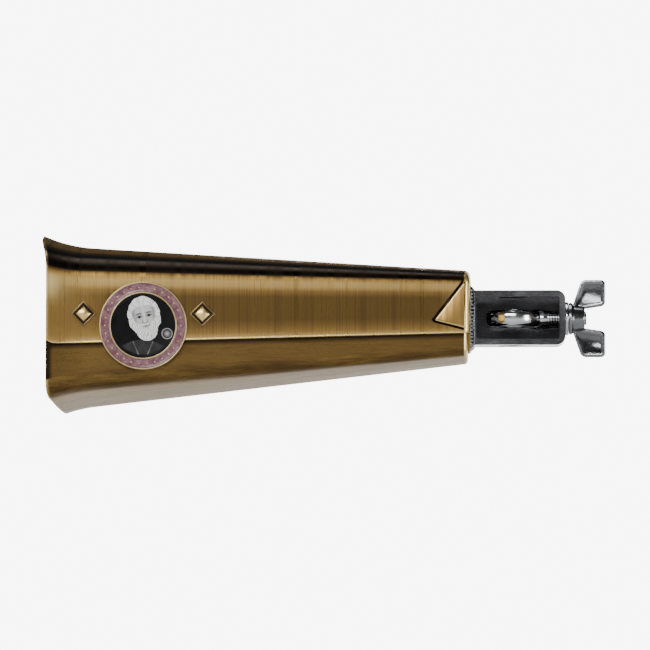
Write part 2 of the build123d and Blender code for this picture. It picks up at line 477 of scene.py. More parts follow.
@dataclass(frozen=True)
class Enamel:
    """Glassy enamel with mottled colour under a clear coat."""

    name: str
    base: Color
    mottle: Color
    amount: float
    roughness: float = 0.3
    coat: float = 0.4
    shine: float = 0.5
    coat_roughness: float = 0.12
    mottle_scale: float = 330.0
    dirt_and_shade: Color = (0.02, 0.012, 0.012)
    spread: float = 0.2
    relief: Point = (0.0001, 0.2)

    def make(self, effects: Effects) -> bpy.types.Material:
        """Build the material.

        Args:
            effects: the shared effect groups.

        Returns:
            The material.
        """
        coat = Coat(self.name)
        clouds = coat.remap(coat.noise(coat.plain, self.mottle_scale, 4.0, Roughness=0.7), 0.4, 0.66)
        mixed = coat.blend(coat.times(clouds, self.amount), self.base, self.mottle)
        coat.dress(
            Base_Color=coat.blend(coat.attribute("grime_and_shade"), mixed, self.dirt_and_shade),
            Specular_IOR_Level=self.shine,
            Coat_Weight=self.coat,
            Coat_Roughness=self.coat_roughness,
        )
        coat.mark(effects, self.roughness, self.spread, self.relief)
        return coat.material


@dataclass(frozen=True)
class PrintedRelief:
    """Painted relief whose tone, from black to white, is stored on the mesh."""

    name: str
    black: Color = (0.004, 0.004, 0.004)
    white: Color = (0.9, 0.9, 0.89)
    contrast: float = 1.8
    grain_scale: float = 1500.0
    grain: Point = (0.88, 1.08)
    shine: float = 0.15
    roughness: float = 0.42
    spread: float = 0.12
    relief: Point = (0.00005, 0.2)

    def make(self, effects: Effects) -> bpy.types.Material:
        """Build the material.

        Args:
            effects: the shared effect groups.

        Returns:
            The material.
        """
        coat = Coat(self.name)
        tone = coat.math("POWER", coat.attribute("tone"), self.contrast)
        grain = coat.remap(coat.noise(coat.plain, self.grain_scale, 2.0), 0.3, 0.7, *self.grain)
        coat.dress(
            Base_Color=coat.blend(coat.times(tone, grain), self.black, self.white),
            Specular_IOR_Level=self.shine,
        )
        coat.mark(effects, self.roughness, self.spread, self.relief)
        return coat.material


class Finishes:
    """Every finish of the object, made once."""

    def __init__(self) -> None:
        """Make the materials."""
        made = Effects()
        maroon, bloom = (0.10, 0.022, 0.035), (0.27, 0.14, 0.165)
        black, haze = (0.003, 0.003, 0.003), (0.008, 0.008, 0.009)
        self.upper_sheet = AgedBrass("brass brushed round", Brush.ROUND_THE_BELL).make(made)
        self.lower_sheet = AgedBrass("brass brushed lengthways", Brush.ALONG_THE_BELL).make(made)
        self.rivet = StruckBrass("rivet brass").make(made)
        self.badge = StruckBrass("badge brass", (0.52, 0.38, 0.2), roughness=0.34).make(made)
        self.ring = Enamel("maroon enamel", maroon, bloom, 0.75).make(made)
        self.disc = Enamel("black enamel", black, haze, 0.5, roughness=0.24, coat=0.02, shine=0.1).make(made)
        self.relief = PrintedRelief("portrait relief").make(made)
        # The bracket and the wing nut get darker chrome than the bolt: painted shade for the dark room they
        # reflect.
        self.bracket = Chrome("bracket chrome", (0.30, 0.305, 0.315)).make(made)
        self.bolt = Chrome("bolt chrome", (0.62, 0.63, 0.64), roughness=0.09).make(made)
        nut_tone, nut_relief = (0.24, 0.245, 0.252), (0.0002, 0.35)
        self.nut = Chrome("wing nut chrome", nut_tone, roughness=0.14, relief=nut_relief).make(made)


# Meshes


def fresh_mesh() -> Mesh:
    """Start a mesh that carries every mask.

    Returns:
        The mesh.
    """
    bm = bmesh.new()
    for name in MASKS:
        bm.verts.layers.float.new(name)
    return bm


def paint(bm: Mesh, name: str, level: Callable[[Vector], float]) -> None:
    """Set a mask at every vertex from its place.

    Args:
        bm: the mesh.
        name: the mask.
        level: gives the mask at a place.
    """
    layer = bm.verts.layers.float[name]
    for vert in bm.verts:
        vert[layer] = level(vert.co)


def moved(bm: Mesh, place: Matrix) -> Mesh:
    """Move a mesh to its place and return it."""
    bmesh.ops.transform(bm, matrix=place, verts=bm.verts)
    return bm


def take_in(whole: Mesh, part: Mesh, place: Matrix = Matrix()) -> None:
    """Put a part in its place in a whole mesh, and free the part.

    Args:
        whole: the mesh that grows.
        part: what joins it.
        place: where the part goes.
    """
    keep = bpy.data.meshes.new("part")
    moved(part, place).to_mesh(keep)
    part.free()
    whole.from_mesh(keep)
    bpy.data.meshes.remove(keep)


def turn_out(bm: Mesh) -> Mesh:
    """Turn a closed mesh's normals outwards and return it."""
    bmesh.ops.recalc_face_normals(bm, faces=bm.faces)
    return bm


@dataclass
class Piece:
    """One finished piece: what it rides on, wears and stands for."""

    name: str
    body: Body
    material: bpy.types.Material
    slot: str
    stands_for: tuple[str, ...] = ()
    bevel_steps: int = 3
    bevel_angle: float = math.radians(38)
    normal_weight: int = 60

    def make(self, bm: Mesh, bevel: float = 0.0, thickness: float = 0.0) -> None:
        """Turn a mesh into the finished object.

        Args:
            bm: the piece's mesh, in place. It is freed.
            bevel: width of the rounding of sharp edges, or 0 for none.
            thickness: wall thickness laid inside the surface, or 0 for none.
        """
        mesh = bpy.data.meshes.new(self.name)
        bmesh.ops.scale(bm, verts=bm.verts, vec=(MM, MM, MM))
        for face in bm.faces:
            face.smooth = True
        bm.to_mesh(mesh)
        bm.free()
        mesh.materials.append(self.material)
        piece = bpy.data.objects.new(self.name, mesh)
        bpy.context.scene.collection.objects.link(piece)
        if thickness:
            wall = piece.modifiers.new("wall", "SOLIDIFY")
            wall.thickness = thickness * MM
            wall.offset = -1.0
            wall.use_even_offset = True
        if bevel:
            edge = piece.modifiers.new("edges", "BEVEL")
            edge.width = bevel * MM
            edge.segments = self.bevel_steps
            edge.limit_method = "ANGLE"
            edge.angle_limit = self.bevel_angle
            edge.use_clamp_overlap = True
            even = piece.modifiers.new("even shading", "WEIGHTED_NORMAL")
            even.weight = self.normal_weight
        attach(piece, self.body.value)
        if self.stands_for:
            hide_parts(*self.stands_for)
        log.info("made %s", self.name)


def frame_box(node: str) -> tuple[Vector, Vector]:
    """Return a frame node's low and high corners, in millimetres."""
    low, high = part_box(node)
    return low / MM, high / MM


def merged_copy(node: str) -> Mesh:
    """Copy a frame node's mesh, merge its loose triangles and join its flat faces.

    Args:
        node: the node's name.

    Returns:
        The copy.
    """
    bm = fresh_mesh()
    bm.from_mesh(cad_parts[node].data)
    moved(bm, Matrix.Scale(1 / MM, 4))
    bmesh.ops.remove_doubles(bm, verts=bm.verts, dist=2e-3)
    bmesh.ops.dissolve_limit(
        bm, angle_limit=math.radians(1.0), verts=bm.verts, edges=bm.edges, delimit={"NORMAL"}
    )
    return bm


def outline_face(corners: list[Point], z: float) -> Mesh:
    """Make one flat face.

    Args:
        corners: its corners.
        z: its height.

    Returns:
        The face as a mesh.
    """
    bm = fresh_mesh()
    made = bmesh.ops.create_circle(bm, cap_ends=True, segments=len(corners), radius=1.0)
    for vert, (x, y) in zip(made["verts"], corners):
        vert.co = (x, y, z)
    return bm


def raise_face(bm: Mesh, height: float) -> bmesh.types.BMFace:
    """Extrude a mesh's only face into a block.

    Args:
        bm: the mesh.
        height: how tall the block is.

    Returns:
        The face that moved.
    """
    raised = bmesh.ops.extrude_face_region(bm, geom=bm.faces[:])["geom"]
    verts = [item for item in raised if isinstance(item, bmesh.types.BMVert)]
    bmesh.ops.translate(bm, verts=verts, vec=(0.0, 0.0, height))
    return next(item for item in raised if isinstance(item, bmesh.types.BMFace))


def round_off(bm: Mesh, items: list, offset: float, affect: str, segments: int = 4) -> None:
    """Round the given edges or corners of a mesh."""
    bmesh.ops.bevel(
        bm, geom=items, offset=offset, affect=affect, segments=segments, profile=0.5, material=-1
    )


def rounded_profile(corners: list[Corner], steps: int = 5) -> list[Point]:
    """Round the corners of a profile.

    Args:
        corners: each corner's radius, height and rounding, which is where its rounding starts.
        steps: how many points each rounding takes.

    Returns:
        The profile's points.
    """
    points = []
    for index, (x, y, rounding) in enumerate(corners):
        if not rounding:
            points.append((x, y))
            continue
        here = Vector((x, y))
        first, last = (
            here + (Vector(corners[beside % len(corners)][:2]) - here).normalized() * rounding
            for beside in (index - 1, index + 1)
        )
        for step in range(steps):
            share = step / (steps - 1)
            spot = first * (1 - share) ** 2 + here * 2 * share * (1 - share) + last * share**2
            points.append((spot.x, spot.y))
    return points


def spun(profile: list[Point], steps: int, closed: bool = False) -> Mesh:
    """Turn a profile about the Z axis.

    Args:
        profile: its (radius, height) points.
        steps: how many steps make the full turn.
        closed: whether the profile's last point joins its first.

    Returns:
        The surface of revolution.
    """
    bm = fresh_mesh()
    verts = [bm.verts.new((radius, 0.0, height)) for radius, height in profile]
    pairs = list(zip(verts, verts[1:])) + ([(verts[-1], verts[0])] if closed else [])
    edges = [bm.edges.new(pair) for pair in pairs]
    bmesh.ops.spin(
        bm, geom=verts + edges, cent=(0, 0, 0), axis=(0, 0, 1), angle=FULL, steps=steps, use_merge=True
    )
    bmesh.ops.remove_doubles(bm, verts=bm.verts, dist=1e-4)
    return turn_out(bm)


def shape_grid(columns: int, rows: int, place: Callable[[int, int], Vector]) -> tuple[Mesh, dict]:
    """Make a grid and move each of its points to where place puts it.

    Args:
        columns: how many points the grid has one way.
        rows: how many points it has the other way.
        place: gives a point's position from its column and row.

    Returns:
        The mesh and its vertices by (column, row).
    """
    bm = fresh_mesh()
    made = bmesh.ops.create_grid(bm, x_segments=columns - 1, y_segments=rows - 1, size=1.0)
    found = {}
    for vert in made["verts"]:
        column = round((vert.co.x + 1.0) / 2.0 * (columns - 1))
        row = round((vert.co.y + 1.0) / 2.0 * (rows - 1))
        found[column, row] = vert
    for (column, row), vert in found.items():
        vert.co = place(column, row)
    return bm, found


def close_below(bm: Mesh, depth: float) -> None:
    """Carry an open relief's rim down and close it there.

    Args:
        bm: the relief.
        depth: the height of its closed foot.
    """
    rim = [edge for edge in bm.edges if edge.is_boundary]
    for item in bmesh.ops.extrude_edge_only(bm, edges=rim)["geom"]:
        if isinstance(item, bmesh.types.BMVert):
            item.co.z = depth
    fill_holes(bm)
    turn_out(bm)


def fill_holes(bm: Mesh) -> None:
    """Close every opening of a mesh."""
    bmesh.ops.holes_fill(bm, edges=[edge for edge in bm.edges if edge.is_boundary])


# The bell


@dataclass
class BellForm:
    """The bell's outer form: straight sides and bulging faces that widen and flare towards the mouth.

    Pairs of sizes are at the crown and at the mouth.
    """

    mouth_x: float = -232.0
    flare_x: float = -212.0
    half_widths: Point = (37.5, 61.0)
    corner_heights: Point = (20.5, 33.0)
    bulges: Point = (3.5, 9.5)
    radii: Point = (5.0, 11.0)
    least_radius: float = 0.2
    width_flare: float = 1.4
    height_flare: float = 3.0
    mouth_drop: float = 5.5
    sheet: float = 1.3
    lap_gap: float = 0.1

    def __post_init__(self) -> None:
        """Take the crown's place from the frame."""
        self.crown_x = frame_box("mount_bracket")[0].x

    def between(self, ends: Point, x: float) -> float:
        """Return a size that changes evenly from the crown to the mouth."""
        share = (self.crown_x - x) / (self.crown_x - self.mouth_x)
        return ends[0] + (ends[1] - ends[0]) * share

    def flared(self, amount: float, x: float) -> float:
        """Return what the flare adds near the mouth."""
        return amount * (max(0.0, self.flare_x - x) / (self.flare_x - self.mouth_x)) ** 2

    def middle(self, x: float) -> float:
        """Return the height of the section's middle."""
        return self.between((0.0, -self.mouth_drop), x)

    def girth_point(self, x: float, inset: float, part: str, share: float, edge: float) -> Point:
        """Find a point of the section at x, above its middle and on the +Y side.

        Args:
            x: place along the bell.
            inset: how far inside the outer form the section lies.
            part: side, corner or face, from the lap to the middle of the wide face.
            share: how far along that part, from 0 to 1.
            edge: height above the section's middle where the side starts.

        Returns:
            Its Y and its height above the middle.
        """
        side = self.between(self.half_widths, x) + self.flared(self.width_flare, x) - inset
        corner = self.between(self.corner_heights, x) + self.flared(self.height_flare, x) - inset
        bulge = self.between(self.bulges, x)
        radius = max(self.between(self.radii, x) - inset, self.least_radius)
        face_radius = (side**2 + bulge**2) / (2 * bulge)
        face_middle = corner + bulge - face_radius
        turn_y = side - radius
        turn_z = face_middle + math.sqrt((face_radius - radius) ** 2 - turn_y**2)
        lean = math.atan2(turn_y, turn_z - face_middle)
        if part == "side":
            return side, edge + (turn_z - edge) * share
        if part == "corner":
            angle = (QUARTER - lean) * share
            return turn_y + radius * math.cos(angle), turn_z + radius * math.sin(angle)
        angle = lean * (1.0 - share)
        return face_radius * math.sin(angle), face_middle + face_radius * math.cos(angle)

    def wall(self, side: Side, x: float, z: float) -> Matrix:
        """Find the place of a fitting on a side wall.

        Args:
            side: which wall.
            x: place along the bell.
            z: height.

        Returns:
            The place: its own Z points out and its own Y points up.
        """
        taper = self.half_widths[1] - self.half_widths[0]
        out = Vector((taper, side.value * (self.crown_x - self.mouth_x), 0.0)).normalized()
        up = Vector((0.0, 0.0, 1.0))
        foot = Vector((x, side.value * self.between(self.half_widths, x), z))
        return Matrix.Translation(foot) @ Matrix((up.cross(out), up, out)).transposed().to_4x4()


@dataclass
class Shell:
    """One of the two sheets that make the bell, as a grid from edge to edge and from mouth to crown.

    A column is a side, a part of the girth and a share of that part. A row is a share of the length, how far
    the crown's fold has turned and a flat run past the fold.
    """

    form: BellForm
    up: int
    inset: float
    edge_heights: Point
    lip_bow: float
    fold_radius: float
    lap_heights: Point
    side_shares: tuple[float, ...]
    edge_roll: float = 0.0
    tongue: tuple[Point, ...] = ()
    corner_steps: int = 10
    face_steps: int = 22
    rows: int = 46
    row_crowding: float = 1.25
    lip_shares: tuple[float, ...] = (0.0, 0.0025, 0.007)
    fold_steps: int = 5
    end_run: float = 0.4
    lip_band: float = 5.0
    lip_rounding: float = 2.6
    lip_trim: float = 0.5
    roll_shares: Point = (0.02, 0.06)
    mouth_shadow: float = 3.2
    lap_shadow: tuple[float, float, float] = (-0.8, 1.0, 2.4)
    lip_wear: float = 0.55
    lap_wear: float = 0.8
    # Painted highlights: the bright crest at the top of the side and the glint near the mouth.
    crest_highlight: float = 0.22
    glint_highlight: float = 0.6
    # How strong the painted floor reflection is on the underside.
    underside_reflection: float = 0.7
    # How dark the painted shade band is on the lower sheet's side and corner.
    side_shade: float = 0.88
    corner_shade: float = 0.9
    # How dark the painted shade is at the lower mouth and under the lap.
    mouth_shade_strength: float = 0.85
    lap_shadow_strength: float = 0.95

    def columns(self) -> list[tuple[int, str, float]]:
        """List the grid's columns from the front edge over the wide face to the back edge.

        Returns:
            Each column's side, part and share.
        """
        half = [("side", share) for share in self.side_shares]
        half += [("corner", step / self.corner_steps) for step in range(self.corner_steps)]
        half += [("face", step / self.face_steps) for step in range(self.face_steps)]
        front = [(-1, part, share) for part, share in half]
        return front + [(1, "face", 1.0)] + [(1, part, share) for part, share in reversed(half)]

    def stations(self) -> list[Station]:
        """List the grid's rows from the mouth.

        Returns:
            Each row's share of the length, turn of the fold and flat run.
        """
        near = self.lip_shares[-1]
        steps = [(step + 1) / self.rows for step in range(self.rows)]
        shares = [*self.lip_shares, *(near + (1.0 - near) * step**self.row_crowding for step in steps)]
        turns = [QUARTER * (step + 1) / self.fold_steps for step in range(self.fold_steps)]
        body = [(share, 0.0, 0.0) for share in shares]
        return body + [(1.0, turn, 0.0) for turn in turns] + [(1.0, QUARTER, self.end_run)]

    def edge(self, x: float) -> float:
        """Return the height of the sheet's free edge, rounded off at the mouth."""
        past = max(0.0, self.lip_band - (x - self.form.mouth_x)) / self.lip_band
        return self.form.between(self.edge_heights, x) + self.up * self.lip_rounding * past**2

    def point(self, side: int, part: str, share: float, station: Station) -> Vector:
        """Place one point of the sheet's outer face.

        Args:
            side: -1 at the front and 1 at the back.
            part: side, corner or face.
            share: how far along that part.
            station: the row.

        Returns:
            The point.
        """
        form = self.form
        length_share, turn, flat = station
        fold_x = form.crown_x - self.inset - self.fold_radius
        x = form.mouth_x
        for _ in range(3):
            y, _ = form.girth_point(x, self.inset, part, share, 0.0)
            lip_x = form.mouth_x + self.lip_trim - self.lip_bow * (1 - (y / form.half_widths[1]) ** 2)
            x = lip_x + (fold_x - lip_x) * length_share
        x += self.fold_radius * math.sin(turn)
        inset = self.inset + self.fold_radius * (1 - math.cos(turn)) + flat
        middle = form.middle(x)
        y, z = form.girth_point(x, inset, part, share, self.up * (self.edge(x) - middle))
        roll, mouth = self.roll_shares
        if part == "side" and share < roll and turn < QUARTER:
            y += self.edge_roll * (1 - share / roll) * min(1.0, length_share / mouth)
        return Vector((x, side * y, middle + self.up * z))

    def shadow(self, part: str, share: float) -> float:
        """Find the painted shade band: mid-side on the upper sheet, all of the side on the lower one.

        Args:
            part: side, corner or face.
            share: how far along that part.

        Returns:
            The shade, from 0 to 1.
        """
        if self.up > 0:
            return clamp((0.9 - share) / 0.16) * min(1.0, 0.15 + share / 0.3) if part == "side" else 0.0
        if part == "side":
            return self.side_shade
        return self.corner_shade * (1.0 if part == "corner" else max(0.0, 1.0 - share / 0.06))

    def dirt_and_shade(self, part: str, share: float, spot: Vector) -> float:
        """Find the painted shade: a dark reflection along the rounded top edge, a shadow under the lap and a
        dark strip at the lower mouth.

        Args:
            part: side, corner or face.
            share: how far along that part.
            spot: the place itself.

        Returns:
            The shade, from 0 to 1.
        """
        # Painted shade: the upper sheet's rounded top edge and the top face beside it are darkened as a
        # reflection of the dark room above.
        if self.up > 0:
            if part == "corner":
                return min(1.0, share / 0.15)
            return max(0.0, 1.0 - (share / 0.24) ** 2) if part == "face" else 0.0
        if part != "side":
            return 0.0
        # Painted shade: a dark strip along the lower mouth edge.
        if spot.x < self.form.mouth_x + self.mouth_shadow:
            return self.mouth_shade_strength
        # Painted shadow under the lap, full near the lap line and fading lower down.
        above, full, fade = self.lap_shadow
        below = self.form.between(self.lap_heights, spot.x) - spot.z
        return self.lap_shadow_strength * clamp(1.0 - max(0.0, below - full) / fade) if below > above else 0.0

    def masks(self, part: str, share: float, station: Station, spot: Vector) -> tuple[float, ...]:
        """Find a place's masks.

        Args:
            part: side, corner or face.
            share: how far along that part.
            station: the row.
            spot: the place itself.

        Returns:
            Its wear, pale, grime and shade_band, in the order of MASKS.
        """
        length_share, turn, _ = station
        upper, side = self.up > 0, part == "side"
        # Painted highlight: the crown's fold radius is made bright.
        wear_and_highlight = 1.0 if 0.2 < turn < QUARTER else 0.0
        if upper or not side:
            wear_and_highlight += self.lip_wear * max(0.0, 1.0 - length_share / 0.006)
        # Painted highlights: a bright crest at the top of the side and a glint near the mouth; the lip and
        # lap edges are rubbed bright.
        if upper and side:
            lap, crest = max(0.0, 1.0 - share / 0.05) ** 2, mound(share, 0.92, 0.07)
            glint = mound(share, 0.8, 0.16) * mound(length_share, 0.0, 0.035)
            wear_and_highlight += self.lap_wear * lap + self.crest_highlight * crest + self.glint_highlight * glint
        # Painted reflection of the pale floor on the lower sheet's underside.
        pale = self.underside_reflection * min(1.0, share / 0.1) if part == "face" and not upper else 0.0
        # Painted shade band, which fades towards the mouth and the crown on the upper sheet.
        ends = min(1.0, 0.35 + length_share / 0.25) * min(1.0, (1.0 - length_share) / 0.1 + 0.4)
        band = self.shadow(part, share) * (ends if upper else 1.0)
        return min(1.0, wear_and_highlight), pale, self.dirt_and_shade(part, share, spot), band

    def build(self) -> Mesh:
        """Build the sheet's outer face and its end at the crown.

        Returns:
            The face, with its masks.
        """
        columns, stations = self.columns(), self.stations()
        bm, grid = shape_grid(
            len(columns), len(stations), lambda column, row: self.point(*columns[column], stations[row])
        )
        layers = [bm.verts.layers.float[name] for name in MASKS[:4]]
        last = len(stations) - 1
        for (column, row), vert in grid.items():
            if row < last:
                levels = self.masks(*columns[column][1:], stations[row], vert.co)
                for layer, level in zip(layers, levels):
                    vert[layer] = level
        chain = [grid[column, last] for column in range(len(columns))]
        low = [bm.verts.new((chain[0].co.x, y, z)) for y, z in self.tongue]
        crown = bmesh.ops.contextual_create(bm, geom=chain + low)["faces"][0]
        turn_out(bm)
        if crown.normal.x < 0:
            bmesh.ops.reverse_faces(bm, faces=bm.faces)
        return bm


@dataclass
class Bell:
    """The bell's two shells, the folded corners of its crown and its rivets."""

    finishes: Finishes
    form: BellForm = field(default_factory=BellForm)
    lap_heights: Point = (-8.4, -14.6)
    inner_heights: Point = (7.0, 9.0)
    lip_bows: Point = (5.5, -4.5)
    fold_radius: float = 3.0
    edge_roll: float = 0.22
    edge_rounding: float = 0.35
    tongue: tuple[Point, ...] = ((24.0, -8.4), (19.2, -17.0), (-19.2, -17.0), (-24.0, -8.4))
    upper_shares: tuple[float, ...] = (0.0, 0.012, 0.03, 0.1, 0.2, 0.3, 0.4, 0.5, 0.6, 0.7, 0.8, 0.88, 0.95)
    lower_side_steps: int = 64
    fold_corners: tuple[Point, ...] = ((-2.0, 18.0), (-18.0, -2.5), (-2.0, -6.4))
    crease_corners: tuple[Point, ...] = ((-3.4, 18.0), (-19.2, -2.2), (-18.2, -3.4), (-3.0, -7.3))
    fold_foot: float = -0.5
    fold_rise: float = 1.2
    crease_rise: float = 0.08
    rivet_places: tuple[float, ...] = (-213.0, -154.5)
    rivet_z: float = 0.3
    rivet_half: float = 4.6
    rivet_groove: float = 1.375
    rivet_rounding: float = 0.16

    def sheet(self, shell: Shell, name: str, material: bpy.types.Material) -> None:
        """Finish one sheet as the upper or the lower shell."""
        piece = Piece(name + "_sheet", Body.BELL, material, "shell_metal", (name + "_shell",))
        piece.make(shell.build(), self.edge_rounding, self.form.sheet)

    def upper(self) -> None:
        """Make the upper sheet, which laps outside the lower one and closes the crown."""
        shell = Shell(
            self.form, 1, 0.0, self.lap_heights, self.lip_bows[0], self.fold_radius, self.lap_heights,
            self.upper_shares, self.edge_roll, self.tongue,
        )
        self.sheet(shell, "upper", self.finishes.upper_sheet)

    def lower(self) -> None:
        """Make the lower sheet."""
        sheet, steps = self.form.sheet, self.lower_side_steps
        shell = Shell(
            self.form, -1, sheet + self.form.lap_gap, self.inner_heights, self.lip_bows[1],
            self.fold_radius - sheet, self.lap_heights, tuple(step / steps for step in range(steps)),
        )
        self.sheet(shell, "lower", self.finishes.lower_sheet)

    def crown_fold(self, side: Side) -> None:
        """Make the folded flap of sheet at one side of the crown, with a painted shadow round it as its
        crease.

        Args:
            side: which side.
        """
        bm = outline_face([(-side.value * x, z) for x, z in self.fold_corners], self.fold_foot)
        round_off(bm, bm.verts[:], 1.1, "VERTICES")
        top = raise_face(bm, self.fold_rise - self.fold_foot)
        round_off(bm, top.edges[:], 0.95, "EDGES")
        # Painted highlight along the flap's raised edges.
        paint(bm, "wear_and_highlight", lambda spot: 0.85 if 0.3 < spot.z < self.fold_rise * 0.99 else 0.0)
        # Painted shadow: a thin dark rim round the flap where the sheet folds.
        crease = outline_face([(-side.value * x, z) for x, z in self.crease_corners], self.fold_foot)
        raise_face(crease, self.crease_rise - self.fold_foot)
        paint(crease, "grime_and_shade", lambda spot: 1.0)
        take_in(bm, crease)
        moved(turn_out(bm), self.form.wall(side, self.form.crown_x, 0.0))
        name = "crown_fold_" + side.name.lower()
        Piece(name, Body.BELL, self.finishes.upper_sheet, "shell_metal").make(bm)

    def rivets(self) -> None:
        """Make the square rivet heads, set on a corner, with their tails inside the bell."""
        whole = fresh_mesh()
        for side in Side:
            for x in self.rivet_places:
                take_in(whole, self.rivet_head(), self.form.wall(side, x, self.rivet_z))
        piece = Piece("rivet_heads", Body.BELL, self.finishes.rivet, "rivet_metal", ("lap_rivets",))
        piece.make(whole, self.rivet_rounding)

    def rivet_head(self) -> Mesh:
        """Press one square head: a rim, a dark groove and a bright raised middle, with a round tail.

        Returns:
            The rivet, about its own middle.
        """
        half, diagonal = self.rivet_half, math.sqrt(2.0)
        steps = (
            (half, -0.2), (0.0, -0.2), (0.0, 0.38), (0.35, 0.55), (0.7, 0.55), (1.0, 0.12), (1.75, 0.12),
            (2.1, 0.7), (3.3, 1.32), (half, 1.45),
        )
        profile = [((half - into) * diagonal, height) for into, height in steps]

        def level(spot: Vector) -> float:
            """Return the painted shade that outlines the head: full in the groove and on the outer edge,
            less on the rim.
            """
            into = half - math.hypot(spot.x, spot.y) / diagonal
            return 1.0 if abs(into - self.rivet_groove) < 0.45 or into < 0.1 else 0.75 * (into < 0.9)

        bm = spun(profile, 4)
        paint(bm, "grime_and_shade", level)
        back = -2 * self.form.sheet - self.form.lap_gap
        take_in(bm, spun([(0.0, back - 0.85), (2.4, back - 0.75), (3.2, back), (0.0, back)], 20))
        return bm

    def build(self) -> None:
        """Make every piece of the bell."""
        self.upper()
        self.lower()
        for side in Side:
            self.crown_fold(side)
        self.rivets()


# The badge


@dataclass(frozen=True)
class Touch:
    """A soft raised or darkened spot of the face, the same on both sides."""

    strength: float
    y: float
    height: float
    side: float
    width: float

    def at(self, side: float, y: float) -> float:
        """Return what it adds at a place."""
        return self.strength * mound(y, self.y, self.height) * mound(side, self.side, self.width)


